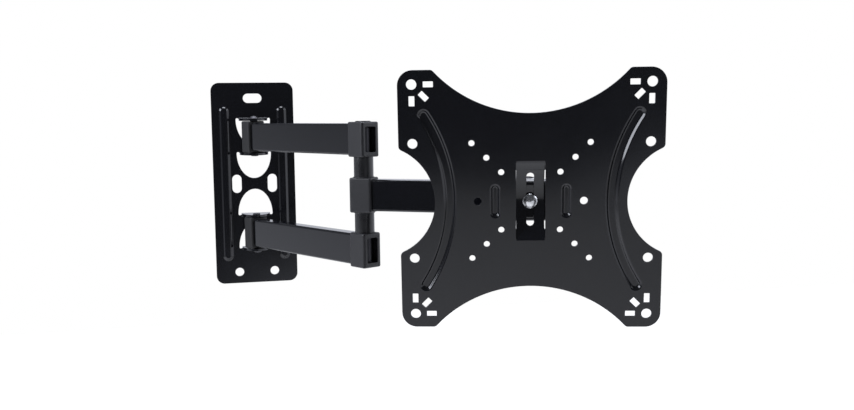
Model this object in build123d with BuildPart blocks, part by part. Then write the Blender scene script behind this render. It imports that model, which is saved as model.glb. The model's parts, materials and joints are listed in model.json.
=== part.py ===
"""Full-motion television wall mount.

A stamped wall plate carries two parallel arms of rectangular tube on folded lugs. A shorter
centre arm turns between them on the elbow bolt, and a folded bracket swivels at its end. The
television plate hangs on that bracket by an arched strip, which slides on the bracket's curved
web so that the screen tilts.

The origin is the middle of the wall plate's back, which is the wall's face. +X is to the right
seen from the room, +Y points into the wall and +Z is up. Lengths are millimetres and angles
are degrees.
"""

from build123d import *
import os
from math import asin, cos, degrees, radians, sin, sqrt, tan

os.makedirs("parts", exist_ok=True)

# Pose of the drawn mount, each turn seen from above and counted from the piece before
arm_swing = 29.2
elbow_turn = 28.9
head_turn = -74.4
bracket_lean = 3.0
plate_lean = 5.5

# Clearances: one in a running bearing, one for pieces that plug together, one beside a lug
running_fit = 0.1
plug_fit = 0.1
lug_fit = 0.3

# Wall plate
wall_width = 90.0
wall_height = 224.0
wall_sheet = 2.5
wall_corner = 9.0
wall_rib_spacing = 62.8
wall_rib_width = 10.6
wall_rib_inset = 26.0
wall_rib_rise = 2.2
wall_rib_hollow = 5.6
wall_rib_slope = 46.0
wall_rib_crown = 2.0
top_slot_length = 20.4
top_slot_width = 10.2
top_slot_inset = 17.2
side_slot_length = 20.4
side_slot_width = 10.2
side_slot_spacing = 39.0
bottom_hole_diameter = 9.6
bottom_hole_spacing = 39.0
bottom_hole_inset = 12.5

# Lugs lanced out of the wall plate, and the openings they leave
lug_width = 31.6
lug_reach = 32.5
bend_radius = 2.0
lance_gap = 3.0
opening_drop = 27.8
relief_rise = 0.4
pivot_reach = 23.5

# Pivot pins at the wall
pin_diameter = 8.0
pin_head_diameter = 12.0
pin_head_rise = 3.0
pin_proud = 1.0
pin_chamfer = 0.6

# Steel tube of the three arms
tube_height = 30.0
tube_width = 15.0
tube_wall = 1.5
tube_corner = 2.0
tube_end_radius = 2.5
arm_length = 191.3
arm_height = 52.5
centre_length = 158.9

# Moulded end caps
cap_length = 22.4
cap_width = 21.0
cap_height = 33.0
cap_corner = 2.5
cap_edge = 1.6
cap_socket = 3.0
cap_spigot = 14.0
shoe_height = 34.4
window_width = 12.4
window_height = 24.0
window_corner = 1.5
shoe_back = 10.0
shoe_front = 5.5
shoe_neck = 1.5
shoe_neck_inset = 1.0
bush_diameter = 14.0
head_pocket = 5.5
pocket_fit = 0.2

# Elbow bolt, its nut, and the sleeves and washers on it
bolt_diameter = 8.0
bolt_flats = 13.0
bolt_head = 6.3
nut_height = 4.0
bolt_tail = 1.0
hex_turned = 30.0
thread_chamfer = 0.8
spacer_diameter = 18.6
hub_washer_diameter = 20.0
hub_washer = 0.5

# Front pivot and swivel bracket
nose_back = 9.0
bracket_sheet = 2.5
bracket_width = 30.0
bracket_lug_radius = 10.0
bracket_bend = 1.5
bracket_flare = 22.0
web_reach = 25.0
swivel_washer = 0.4
swivel_washer_diameter = 18.0
swivel_pin_diameter = 7.0
swivel_pin_chamfer = 0.5
swivel_head_diameter = 13.0
swivel_head = 1.8
swivel_head_edge = 0.6
swivel_tail = 1.1

# Television plate
corner_hole_spacing = 200.0
corner_hole_margin = 12.0
plate_size = corner_hole_spacing + 2 * corner_hole_margin
plate_sheet = 2.0
plate_corner = 13.0
plate_tip = 4.0
side_notch_radius = 49.0
side_notch_depth = 30.4
end_notch_radius = 111.0
end_notch_depth = 37.0
corner_hole_diameter = 8.7
side_hole_spacing = 100.0
side_hole_diameter = 8.4
small_hole_diameter = 5.2
small_patterns = (100.0, 75.0, 50.0)
detail_hole_spacing = 90.0
detail_hole_diameter = 6.6
tab_slot_length = 8.5
tab_slot_width = 4.9
tab_slot_corner = 0.5
tab_slot_shift = 28.0
diagonal_slot_spacing = 180.0
plate_rib_depth = 2.2
plate_rib_width = 10.0
plate_rib_radius = 137.0
plate_rib_middle = 68.6
plate_rib_rise = 73.9
short_rib_spacing = 60.4
short_rib_length = 28.6
short_rib_width = 8.0
rib_slope = 45.0

# Tilt strip, pressed back out of the television plate as an arch around the tilt axis
strip_radius = 52.0
strip_depth = 12.0
strip_width = 24.2
strip_bend = 4.0
strip_root = 4.0
window_gap = 0.4
opening_corner = 1.0
slit_start = 7.5
gusset_wall = 1.5
strip_gap = 0.2
tilt_slot_length = 46.6
tilt_slot_width = 6.4

# Tilt bolt with a domed head and a square neck
tilt_bolt_diameter = 6.0
tilt_head_diameter = 12.7
tilt_head_rise = 3.3
tilt_neck = 6.0
tilt_washer_diameter = 12.0
tilt_washer = 1.2
tilt_nut_flats = 10.0
tilt_nut = 5.0
tilt_tail = 1.5
web_hole_fit = 0.4

# Sizes that follow from the ones above
wall_rib_length = wall_height - 2 * wall_rib_inset
top_slot_height = wall_height / 2 - top_slot_inset
bottom_hole_height = bottom_hole_inset - wall_height / 2
side_notch_centre = plate_size / 2 + side_notch_radius - side_notch_depth
end_notch_centre = plate_size / 2 + end_notch_radius - end_notch_depth
plate_rib_centre = plate_rib_middle + plate_rib_radius
shoe_base = arm_height - shoe_height / 2
lug_top = arm_height + shoe_height / 2 + lug_fit + wall_sheet
inner_lug_top = shoe_base - lug_fit
cap_base = arm_height - cap_height / 2
cap_top = arm_height + cap_height / 2
head_seat = cap_top - head_pocket
hub_top = cap_height / 2
washer_base = hub_top + running_fit
spacer_base = washer_base + hub_washer
bracket_inside = tube_height / 2 + swivel_washer + running_fit
bracket_top = bracket_inside + bracket_sheet
web_back_radius = strip_radius + plate_sheet + strip_gap + bracket_sheet
web_front_radius = web_back_radius - bracket_sheet


def heading(angle):
    """Return the level direction at an angle from +X towards +Y."""
    return Vector(cos(radians(angle)), sin(radians(angle)), 0)


def level(point, direction, height=0.0, up=1):
    """Return a level plane over a pivot, its x along a direction, facing up or down."""
    return Plane(origin=(point.X, point.Y, height), x_dir=direction, z_dir=(0, 0, up))


def upright(point, direction, height=0.0):
    """Return an upright plane through a pivot, its x along a direction and its y up."""
    side = direction.cross(Vector(0, 0, 1))
    return Plane(origin=(point.X, point.Y, height), x_dir=direction, z_dir=side)


def across(point, direction, distance, height=0.0):
    """Return the plane square to a direction at a distance, its x up."""
    place = point + direction * distance
    return Plane(origin=(place.X, place.Y, height), x_dir=(0, 0, 1), z_dir=direction)


def dome_at_half(radius, rise):
    """Return the height of a spherical dome at half its radius."""
    sphere = (radius**2 + rise**2) / (2 * rise)
    return sqrt(sphere**2 - radius**2 / 4) - sphere + rise


def hexagon(place, flats, height):
    """Return a hexagon head or nut that stands on a plane, its far corners turned off."""
    corner = flats / sqrt(3)
    drop = (corner - flats / 2) * tan(radians(hex_turned))
    turning = Plane(origin=place.origin, x_dir=place.x_dir, z_dir=place.x_dir.cross(place.z_dir))
    with BuildPart() as block:
        with BuildSketch(place):
            RegularPolygon(flats / 2, 6, major_radius=False)
        extrude(amount=height)
        with BuildSketch(turning):
            with BuildLine():
                Polyline(
                    (0, 0),
                    (corner, 0),
                    (corner, height - drop),
                    (flats / 2, height),
                    (0, height),
                    close=True,
                )
            make_face()
        revolve(axis=Axis(tuple(place.origin), tuple(place.z_dir)), mode=Mode.INTERSECT)
    return block.part


arm_heading = arm_swing - 90
centre_heading = arm_heading + elbow_turn
head_heading = centre_heading + head_turn
along_arm = heading(arm_heading)
along_centre = heading(centre_heading)
facing = heading(head_heading)
sideways = heading(head_heading + 90)
straight_up = Vector(0, 0, 1)

wall_pivot = Vector(0, -pivot_reach, 0)
elbow = wall_pivot + along_arm * arm_length
front_pivot = elbow + along_centre * centre_length

web_normal = facing * cos(radians(bracket_lean)) - straight_up * sin(radians(bracket_lean))
plate_normal = facing * cos(radians(plate_lean)) - straight_up * sin(radians(plate_lean))
tilt_centre = front_pivot + facing * web_reach + web_normal * web_back_radius
axis_to_plate = strip_radius - strip_depth
plate_centre = tilt_centre - plate_normal * axis_to_plate
plate_plane = Plane(origin=tuple(plate_centre), x_dir=sideways, z_dir=plate_normal)
strip_plane = Plane(origin=tuple(tilt_centre), x_dir=plate_normal, z_dir=sideways * -1)
bolt_plane = Plane(origin=tuple(tilt_centre), x_dir=sideways, z_dir=web_normal)

# Two lugs for the upper arm: each is a half-ellipse tongue on a round bend
bend_depth = wall_sheet + bend_radius
with BuildPart() as upper_lugs:
    with BuildSketch(Plane.YZ):
        for top in (lug_top, inner_lug_top):
            with Locations((-bend_depth, top + bend_radius)):
                Circle(bend_depth)
                Circle(bend_radius, mode=Mode.SUBTRACT)
                Rectangle(bend_depth, bend_depth, align=(Align.MAX, Align.CENTER), mode=Mode.SUBTRACT)
                Rectangle(2 * bend_depth, bend_depth, align=(Align.CENTER, Align.MIN), mode=Mode.SUBTRACT)
            with Locations((-bend_depth, top)):
                Rectangle(lug_reach, wall_sheet, align=(Align.MAX, Align.MAX))
            with Locations((0, top + bend_radius)):
                Rectangle(wall_sheet, bend_radius, align=(Align.MAX, Align.MIN))
    extrude(amount=lug_width / 2, both=True)
    with BuildSketch(Plane.XY):
        with Locations((0, -bend_depth)):
            Ellipse(lug_width / 2, lug_reach - bend_depth)
            Rectangle(lug_width, bend_depth, align=(Align.CENTER, Align.MIN))
        with Locations((0, -pivot_reach)):
            Circle(pin_diameter / 2 + plug_fit, mode=Mode.SUBTRACT)
    extrude(amount=wall_height, mode=Mode.INTERSECT)

with BuildPart() as wall_plate:
    with BuildSketch(Plane.XZ):
        RectangleRounded(wall_width, wall_height, wall_corner)
    extrude(amount=wall_sheet)
    # Long stiffening ribs, raised to the front and hollow behind
    with BuildSketch(Plane.XZ.offset(wall_sheet)):
        with GridLocations(wall_rib_spacing, 0, 2, 1):
            SlotOverall(wall_rib_length, wall_rib_width, rotation=90)
    extrude(amount=wall_rib_rise, taper=wall_rib_slope)
    crowns = edges().group_by(Axis.Y)[0]
    fillet(crowns, wall_rib_crown)
    hollow_length = wall_rib_length - wall_rib_width + wall_rib_hollow
    with BuildSketch(Plane.XZ):
        with GridLocations(wall_rib_spacing, 0, 2, 1):
            SlotOverall(hollow_length, wall_rib_hollow, rotation=90)
    extrude(amount=wall_rib_rise, taper=wall_rib_slope, mode=Mode.SUBTRACT)
    # Openings that the lugs are folded out of, with relief notches beside each bend
    with BuildSketch(Plane.XZ):
        for top in (lug_top, inner_lug_top):
            relief_line = top + relief_rise - lance_gap / 2
            with BuildLine():
                rim = EllipticalCenterArc(
                    (0, relief_line),
                    lug_width / 2 + lance_gap,
                    opening_drop,
                    start_angle=180,
                    arc_size=180,
                )
                Line(rim @ 1, rim @ 0)
            make_face()
            with Locations((0, relief_line)):
                with GridLocations(lug_width + lance_gap, 0, 2, 1):
                    Circle(lance_gap / 2)
                under_bend = top + bend_radius - relief_line
                Rectangle(lug_width, under_bend, align=(Align.CENTER, Align.MIN))
        mirror(about=Plane.XZ)
    extrude(amount=wall_sheet, mode=Mode.SUBTRACT)
    add(upper_lugs.part)
    mirror(upper_lugs.part, about=Plane.XY)
    # Screw slots and holes
    with BuildSketch(Plane.XZ):
        with Locations((0, top_slot_height)):
            SlotOverall(top_slot_length, top_slot_width)
        with GridLocations(side_slot_spacing, 0, 2, 1):
            SlotOverall(side_slot_length, side_slot_width, rotation=90)
        with Locations((0, bottom_hole_height)):
            with GridLocations(bottom_hole_spacing, 0, 2, 1):
                Circle(bottom_hole_diameter / 2)
    extrude(amount=wall_sheet, mode=Mode.SUBTRACT)
wall_plate.part.label = "wall_plate"
export_step(wall_plate.part, "parts/wall_plate.step")

# Domed pin through both lugs of the upper arm
pin_end = inner_lug_top - wall_sheet - pin_proud
with BuildPart() as wall_pin:
    with BuildSketch(upright(wall_pivot, Vector(1, 0, 0))):
        with BuildLine():
            Polyline(
                (0, lug_top + pin_head_rise),
                (0, pin_end),
                (pin_diameter / 2 - pin_chamfer, pin_end),
                (pin_diameter / 2, pin_end + pin_chamfer),
                (pin_diameter / 2, lug_top),
                (pin_head_diameter / 2, lug_top),
            )
            ThreePointArc(
                (pin_head_diameter / 2, lug_top),
                (pin_head_diameter / 4, lug_top + dome_at_half(pin_head_diameter / 2, pin_head_rise)),
                (0, lug_top + pin_head_rise),
            )
        make_face()
    revolve(axis=Axis((0, -pivot_reach, 0), (0, 0, 1)))

tube_start = shoe_front + shoe_neck
tube_end = arm_length - cap_length / 2 + cap_socket

with BuildPart() as arm_tube:
    with BuildSketch(across(wall_pivot, along_arm, tube_start, arm_height)):
        RectangleRounded(tube_height, tube_width, tube_corner)
        RectangleRounded(
            tube_height - 2 * tube_wall,
            tube_width - 2 * tube_wall,
            tube_corner - tube_wall,
            mode=Mode.SUBTRACT,
        )
    extrude(amount=tube_end - tube_start)
    # The end at the wall has rounded corners seen from the side
    with BuildSketch(upright(wall_pivot, along_arm, arm_height)) as end_profile:
        with Locations((tube_start, 0)):
            Rectangle(tube_end - tube_start, tube_height, align=(Align.MIN, Align.CENTER))
        fillet(end_profile.vertices().sort_by(Axis.X)[:2], tube_end_radius)
    extrude(amount=tube_width, both=True, mode=Mode.INTERSECT)

spigot_height = tube_height - 2 * tube_wall - 2 * plug_fit
spigot_width = tube_width - 2 * tube_wall - 2 * plug_fit
spigot_corner = tube_corner - tube_wall

# Shoe at the wall: a block round the pin, a neck, and a spigot inside the tube
with BuildPart() as inner_cap:
    with BuildSketch(level(wall_pivot, along_arm, shoe_base)):
        with Locations(((shoe_front - shoe_back) / 2, 0)):
            RectangleRounded(shoe_back + shoe_front, cap_width, cap_corner)
    extrude(amount=shoe_height)
    rims = edges().group_by(Axis.Z)
    fillet(rims[0] + rims[-1], cap_edge)
    with BuildSketch(across(wall_pivot, along_arm, shoe_front - cap_edge, arm_height)):
        RectangleRounded(
            tube_height - 2 * shoe_neck_inset, tube_width - 2 * shoe_neck_inset, tube_corner
        )
    extrude(amount=shoe_neck + cap_edge)
    with BuildSketch(across(wall_pivot, along_arm, tube_start, arm_height)):
        RectangleRounded(spigot_height, spigot_width, spigot_corner)
    extrude(amount=cap_spigot)
    with BuildSketch(level(wall_pivot, along_arm, shoe_base)):
        Circle(pin_diameter / 2 + running_fit)
    extrude(amount=shoe_height, mode=Mode.SUBTRACT)


def end_cap(pivot, direction, end, middle):
    """Return a moulded cap round a pivot, on the tube that comes from behind it.

    The pivot is at a distance along the direction, which points out of the tube. The cap has a
    socket for the tube's end, a spigot inside it, a bore for the bush and a window in its face.
    """
    base = middle - cap_height / 2
    with BuildPart() as cap:
        with BuildSketch(level(pivot + direction * end, direction, base)):
            RectangleRounded(cap_length, cap_width, cap_corner)
        extrude(amount=cap_height)
        rims = edges().group_by(Axis.Z)
        fillet(rims[0] + rims[-1], cap_edge)
        back = end - cap_length / 2
        with BuildSketch(across(pivot, direction, back, middle)):
            RectangleRounded(tube_height + 2 * plug_fit, tube_width + 2 * plug_fit, tube_corner)
        extrude(amount=cap_socket, mode=Mode.SUBTRACT)
        with BuildSketch(across(pivot, direction, back + cap_socket - cap_spigot, middle)):
            RectangleRounded(spigot_height, spigot_width, spigot_corner)
        extrude(amount=cap_spigot)
        with BuildSketch(across(pivot, direction, end, middle)):
            RectangleRounded(window_height, window_width, window_corner)
        extrude(amount=cap_length, mode=Mode.SUBTRACT)
        with BuildSketch(level(pivot + direction * end, direction, base)):
            Circle(bush_diameter / 2 + plug_fit)
        extrude(amount=cap_height, mode=Mode.SUBTRACT)
    return cap.part


# Cap at the upper arm's elbow, with the bolt's hexagon pocket in its closed top
with BuildPart() as outer_cap:
    add(end_cap(wall_pivot, along_arm, arm_length, arm_height))
    with BuildSketch(level(elbow, along_arm, head_seat)):
        Circle(bush_diameter / 2 + 2 * plug_fit)
    extrude(amount=head_pocket)
    with BuildSketch(level(elbow, along_arm, head_seat)):
        RegularPolygon(bolt_flats / 2 + pocket_fit, 6, major_radius=False)
    extrude(amount=head_pocket, mode=Mode.SUBTRACT)

# Steel bush inside the cap, which carries the bolt's pull past the moulding
with BuildPart() as elbow_bush:
    with BuildSketch(level(elbow, along_arm, cap_base)):
        Circle(bush_diameter / 2)
        Circle(bolt_diameter / 2 + plug_fit, mode=Mode.SUBTRACT)
    extrude(amount=head_seat - cap_base)

with BuildPart() as spacer:
    with BuildSketch(level(elbow, along_arm, spacer_base)):
        Circle(spacer_diameter / 2)
        Circle(bolt_diameter / 2 + plug_fit, mode=Mode.SUBTRACT)
    extrude(amount=cap_base - spacer_base)

upper_pieces = (
    ("wall_pin", wall_pin),
    ("arm_tube", arm_tube),
    ("inner_cap", inner_cap),
    ("outer_cap", outer_cap),
    ("elbow_bush", elbow_bush),
    ("spacer", spacer),
)
for piece_name, upper in upper_pieces:
    upper.part.label = f"upper_{piece_name}"
    export_step(upper.part, f"parts/upper_{piece_name}.step")
    with BuildPart() as lower:
        mirror(upper.part, about=Plane.XY)
    lower.part.label = f"lower_{piece_name}"
    export_step(lower.part, f"parts/lower_{piece_name}.step")

with BuildPart() as elbow_bolt:
    with BuildSketch(level(elbow, along_arm, -head_seat - nut_height - bolt_tail)):
        Circle(bolt_diameter / 2)
    extrude(amount=2 * head_seat + nut_height + bolt_tail)
    chamfer(edges().group_by(Axis.Z)[0], thread_chamfer)
    add(hexagon(level(elbow, along_arm, head_seat), bolt_flats, bolt_head))
elbow_bolt.part.label = "elbow_bolt"
export_step(elbow_bolt.part, "parts/elbow_bolt.step")

with BuildPart() as elbow_nut:
    add(hexagon(level(elbow, along_arm, -head_seat, -1), bolt_flats, nut_height))
    with BuildSketch(level(elbow, along_arm, -head_seat, -1)):
        Circle(bolt_diameter / 2 + plug_fit)
    extrude(amount=nut_height, mode=Mode.SUBTRACT)
elbow_nut.part.label = "elbow_nut"
export_step(elbow_nut.part, "parts/elbow_nut.step")

with BuildPart() as hub_washers:
    with BuildSketch(level(elbow, along_arm, washer_base)):
        Circle(hub_washer_diameter / 2)
        Circle(bolt_diameter / 2 + plug_fit, mode=Mode.SUBTRACT)
    extrude(amount=hub_washer)
    mirror(about=Plane.XY)
hub_washers.part.label = "hub_washers"
export_step(hub_washers.part, "parts/hub_washers.step")

# Centre arm: hub on the elbow bolt, tube, and a round nose at the front pivot
with BuildPart() as hub_cap:
    add(end_cap(elbow, along_centre * -1, 0, 0))
hub_cap.part.label = "hub_cap"
export_step(hub_cap.part, "parts/hub_cap.step")

with BuildPart() as hub_bush:
    with BuildSketch(level(elbow, along_centre, -hub_top)):
        Circle(bush_diameter / 2)
        Circle(bolt_diameter / 2 + running_fit, mode=Mode.SUBTRACT)
    extrude(amount=cap_height)
hub_bush.part.label = "hub_bush"
export_step(hub_bush.part, "parts/hub_bush.step")

centre_start = cap_length / 2 - cap_socket
centre_end = centre_length - nose_back
with BuildPart() as centre_arm_tube:
    with BuildSketch(across(elbow, along_centre, centre_start)):
        RectangleRounded(tube_height, tube_width, tube_corner)
        RectangleRounded(
            tube_height - 2 * tube_wall,
            tube_width - 2 * tube_wall,
            tube_corner - tube_wall,
            mode=Mode.SUBTRACT,
        )
    extrude(amount=centre_end - centre_start)
centre_arm_tube.part.label = "centre_arm_tube"
export_step(centre_arm_tube.part, "parts/centre_arm_tube.step")

with BuildPart() as front_plug:
    with BuildSketch(level(front_pivot, along_centre, -tube_height / 2)):
        Circle(tube_width / 2)
        Rectangle(nose_back, tube_width, align=(Align.MAX, Align.CENTER))
    extrude(amount=tube_height)
    with BuildSketch(across(front_pivot, along_centre, -nose_back - cap_spigot)):
        RectangleRounded(spigot_height, spigot_width, spigot_corner)
    extrude(amount=cap_spigot)
    with BuildSketch(level(front_pivot, along_centre, -tube_height / 2)):
        Circle(swivel_pin_diameter / 2 + running_fit)
    extrude(amount=tube_height, mode=Mode.SUBTRACT)
front_plug.part.label = "front_plug"
export_step(front_plug.part, "parts/front_plug.step")

# Swivel bracket: two lugs round the front pivot and a web curved about the tilt axis
web_centre = web_reach + web_back_radius * cos(radians(bracket_lean))
web_drop = -web_back_radius * sin(radians(bracket_lean))


def web_face(radius, height):
    """Return how far ahead of the front pivot a web surface lies at a height."""
    return web_centre - sqrt(radius**2 - (height - web_drop) ** 2)


def bracket_side(radius, half_height, back, bend):
    """Draw the side view bounded by a web surface, two lug faces and an open back."""
    with BuildSketch(upright(front_pivot, facing)) as side_view:
        with BuildLine():
            low = (web_face(radius, -half_height), -half_height)
            high = (web_face(radius, half_height), half_height)
            ThreePointArc(low, (web_centre - radius, web_drop), high)
            Polyline(high, (-back, half_height), (-back, -half_height), low)
        make_face()
        fillet(side_view.vertices().sort_by(Axis.X)[-2:], bend)
    return side_view.sketch


with BuildPart() as swivel_bracket:
    outside = bracket_side(
        web_front_radius, bracket_top, bracket_lug_radius, bracket_bend + bracket_sheet
    )
    extrude(outside, amount=bracket_width / 2, both=True)
    inside = bracket_side(web_back_radius, bracket_inside, 2 * bracket_lug_radius, bracket_bend)
    extrude(inside, amount=bracket_width / 2, both=True, mode=Mode.SUBTRACT)
    with BuildSketch(level(front_pivot, facing, -bracket_top)):
        Circle(bracket_lug_radius)
        with Locations((bracket_flare, 0)):
            Rectangle(web_reach, bracket_width, align=(Align.MIN, Align.CENTER))
        make_hull()
        Circle(swivel_pin_diameter / 2 + plug_fit, mode=Mode.SUBTRACT)
    extrude(amount=2 * bracket_top, mode=Mode.INTERSECT)
    with BuildSketch(bolt_plane.offset(-web_front_radius)):
        Circle(tilt_bolt_diameter / 2 + web_hole_fit / 2)
    extrude(amount=2 * bracket_sheet, both=True, mode=Mode.SUBTRACT)
swivel_bracket.part.label = "swivel_bracket"
export_step(swivel_bracket.part, "parts/swivel_bracket.step")

# Pin with a flat head below, riveted over above the bracket
with BuildPart() as swivel_pin:
    with BuildSketch(level(front_pivot, facing, -bracket_top, -1)):
        Circle(swivel_head_diameter / 2)
    extrude(amount=swivel_head)
    fillet(edges().group_by(Axis.Z)[0], swivel_head_edge)
    with BuildSketch(level(front_pivot, facing, -bracket_top)):
        Circle(swivel_pin_diameter / 2)
    extrude(amount=2 * bracket_top + swivel_tail)
    chamfer(edges().group_by(Axis.Z)[-1], swivel_pin_chamfer)
swivel_pin.part.label = "swivel_pin"
export_step(swivel_pin.part, "parts/swivel_pin.step")

with BuildPart() as swivel_washers:
    with BuildSketch(level(front_pivot, facing, bracket_inside - swivel_washer)):
        Circle(swivel_washer_diameter / 2)
        Circle(swivel_pin_diameter / 2 + plug_fit, mode=Mode.SUBTRACT)
    extrude(amount=swivel_washer)
    mirror(about=Plane.XY)
swivel_washers.part.label = "swivel_washers"
export_step(swivel_washers.part, "parts/swivel_washers.step")

# Tilt bolt: its domed head bears inside the arch, clear of the concave strip at its rim
strip_face = strip_radius - strip_gap
head_base = sqrt(strip_face**2 - (tilt_head_diameter / 2) ** 2)
neck_end = web_front_radius - strip_gap / 2
nut_seat = web_back_radius + tilt_washer
bolt_end = nut_seat + tilt_nut + tilt_tail
bolt_side = Plane(origin=tuple(tilt_centre), x_dir=sideways, z_dir=sideways.cross(web_normal))
with BuildPart() as tilt_bolt_part:
    with BuildSketch(bolt_side):
        head_radius = tilt_head_diameter / 2
        dome_top = tilt_head_rise - head_base
        with BuildLine():
            Polyline(
                (0, dome_top),
                (0, -bolt_end),
                (tilt_bolt_diameter / 2 - thread_chamfer, -bolt_end),
                (tilt_bolt_diameter / 2, thread_chamfer - bolt_end),
                (tilt_bolt_diameter / 2, -head_base),
                (head_radius, -head_base),
            )
            ThreePointArc(
                (head_radius, -head_base),
                (head_radius / 2, dome_at_half(head_radius, tilt_head_rise) - head_base),
                (0, dome_top),
            )
        make_face()
    revolve(axis=Axis(tuple(tilt_centre), tuple(web_normal)))
    with BuildSketch(bolt_plane.offset(-neck_end)):
        Rectangle(tilt_neck, tilt_neck)
    extrude(amount=neck_end - head_base)
tilt_bolt_part.part.label = "tilt_bolt"
export_step(tilt_bolt_part.part, "parts/tilt_bolt.step")

with BuildPart() as tilt_washer_part:
    with BuildSketch(bolt_plane.offset(-nut_seat)):
        Circle(tilt_washer_diameter / 2)
        Circle(tilt_bolt_diameter / 2 + plug_fit, mode=Mode.SUBTRACT)
    extrude(amount=tilt_washer)
tilt_washer_part.part.label = "tilt_washer"
export_step(tilt_washer_part.part, "parts/tilt_washer.step")

nut_plane = Plane(origin=bolt_plane.offset(-nut_seat).origin, x_dir=sideways, z_dir=web_normal * -1)
with BuildPart() as tilt_nut_part:
    add(hexagon(nut_plane, tilt_nut_flats, tilt_nut))
    with BuildSketch(nut_plane):
        Circle(tilt_bolt_diameter / 2 + plug_fit)
    extrude(amount=tilt_nut, mode=Mode.SUBTRACT)
tilt_nut_part.part.label = "tilt_nut"
export_step(tilt_nut_part.part, "parts/tilt_nut.step")


# Television plate: an X with arched sides, pressed ribs, and the hole patterns of the screens
rib_turn = degrees(asin(plate_rib_rise / plate_rib_radius))
rib_arcs = [
    CenterArc((plate_rib_centre, 0), plate_rib_radius, 180 - rib_turn, 2 * rib_turn),
    CenterArc((-plate_rib_centre, 0), plate_rib_radius, -rib_turn, 2 * rib_turn),
]


def rib_outlines(widening):
    """Draw the outlines of all pressed ribs, made wider by an amount."""
    with BuildSketch() as outlines:
        for rib_arc in rib_arcs:
            SlotArc(rib_arc, plate_rib_width + widening)
        with GridLocations(short_rib_spacing, 0, 2, 1):
            SlotOverall(short_rib_length + widening, short_rib_width + widening, rotation=90)
    return outlines.sketch


window_height_half = sqrt(strip_radius**2 - axis_to_plate**2)
opening_width = strip_width + 2 * window_gap
slit_half = window_height_half - slit_start
strip_back = strip_radius + plate_sheet
back_reach = sqrt(strip_back**2 - (axis_to_plate + plate_sheet) ** 2)
root_reach = back_reach + strip_root

with BuildPart() as tv_plate:
    with BuildSketch(plate_plane) as outline:
        Rectangle(plate_size, plate_size)
        with GridLocations(2 * side_notch_centre, 0, 2, 1):
            Circle(side_notch_radius, mode=Mode.SUBTRACT)
        with GridLocations(0, 2 * end_notch_centre, 1, 2):
            Circle(end_notch_radius, mode=Mode.SUBTRACT)
        fillet(outline.vertices().sort_by_distance((0, 0))[:-4], plate_tip)
        fillet(outline.vertices().sort_by_distance((0, 0))[-4:], plate_corner)
        # Window that the strip is drawn out of, and the strip's width out to its flat roots
        RectangleRounded(opening_width, 2 * window_height_half, opening_corner, mode=Mode.SUBTRACT)
        Rectangle(strip_width, 2 * root_reach, mode=Mode.SUBTRACT)
    extrude(amount=-plate_sheet)
    # Ribs pressed towards the back: a tapered boss behind, a tapered recess in front
    bend_shift = plate_sheet * tan(radians(rib_slope / 2))
    with BuildSketch(plate_plane.offset(-plate_sheet)):
        add(rib_outlines(2 * bend_shift))
    extrude(amount=-plate_rib_depth, taper=rib_slope)
    with BuildSketch(plate_plane):
        add(rib_outlines(0))
    extrude(amount=-plate_rib_depth, taper=rib_slope, mode=Mode.SUBTRACT)
    # Arched strip, one sheet thick, bent out of the plate at both ends
    with BuildSketch(strip_plane) as strip_side:
        front = -axis_to_plate
        back = front - plate_sheet
        with BuildLine():
            Polyline(
                (front, window_height_half),
                (front, root_reach),
                (back, root_reach),
                (back, back_reach),
            )
            ThreePointArc((back, back_reach), (-strip_back, 0), (back, -back_reach))
            Polyline(
                (back, -back_reach),
                (back, -root_reach),
                (front, -root_reach),
                (front, -window_height_half),
            )
            ThreePointArc((front, -window_height_half), (-strip_radius, 0), (front, window_height_half))
        make_face()
        bends = strip_side.vertices().group_by(Axis.Y)
        fillet(bends[2] + bends[-3], strip_bend)
        bends = strip_side.vertices().filter_by(lambda corner: abs(corner.X - back) < 0.001)
        fillet(bends.sort_by(Axis.Y)[1:-1], strip_bend - plate_sheet)
    extrude(amount=strip_width / 2, both=True)
    # Beyond the slits the sheet is drawn, not cut: the arch is wider there, and walls behind
    # the window's sides close its corners
    with BuildSketch(strip_plane):
        add(strip_side.sketch_local)
        Rectangle(2 * strip_back, 2 * slit_half, mode=Mode.SUBTRACT)
    extrude(amount=opening_width / 2 + gusset_wall, both=True)
    for wall_side in (opening_width / 2, -opening_width / 2 - gusset_wall):
        with BuildSketch(strip_plane.offset(wall_side)):
            with BuildLine():
                ThreePointArc((back, back_reach), (-strip_back, 0), (back, -back_reach))
                Line((back, -back_reach), (back, back_reach))
            make_face()
            Rectangle(2 * strip_back, 2 * slit_half, mode=Mode.SUBTRACT)
        extrude(amount=gusset_wall)
    with BuildSketch(plate_plane.offset(-strip_depth - 2 * plate_sheet)):
        SlotOverall(tilt_slot_length, tilt_slot_width, rotation=90)
    extrude(amount=strip_depth, mode=Mode.SUBTRACT)
    # Holes for screens with 200, 100, 75 and 50 mm patterns, and the tab slots of the corners
    with BuildSketch(plate_plane):
        with GridLocations(corner_hole_spacing, corner_hole_spacing, 2, 2):
            Circle(corner_hole_diameter / 2)
        with GridLocations(corner_hole_spacing, side_hole_spacing, 2, 2):
            Circle(side_hole_diameter / 2)
        for spacing in small_patterns:
            with GridLocations(spacing, spacing, 2, 2):
                Circle(small_hole_diameter / 2)
        with GridLocations(detail_hole_spacing, 0, 2, 1):
            Circle(detail_hole_diameter / 2)
        with GridLocations(corner_hole_spacing - tab_slot_shift, corner_hole_spacing, 2, 2):
            RectangleRounded(tab_slot_length, tab_slot_width, tab_slot_corner)
        with GridLocations(corner_hole_spacing, corner_hole_spacing - tab_slot_shift, 2, 2):
            RectangleRounded(tab_slot_width, tab_slot_length, tab_slot_corner)
        for quarter in range(4):
            with PolarLocations(diagonal_slot_spacing / sqrt(2), 1, 45 + 90 * quarter):
                RectangleRounded(tab_slot_length, tab_slot_width, tab_slot_corner)
    extrude(amount=-plate_sheet, mode=Mode.SUBTRACT)
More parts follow.
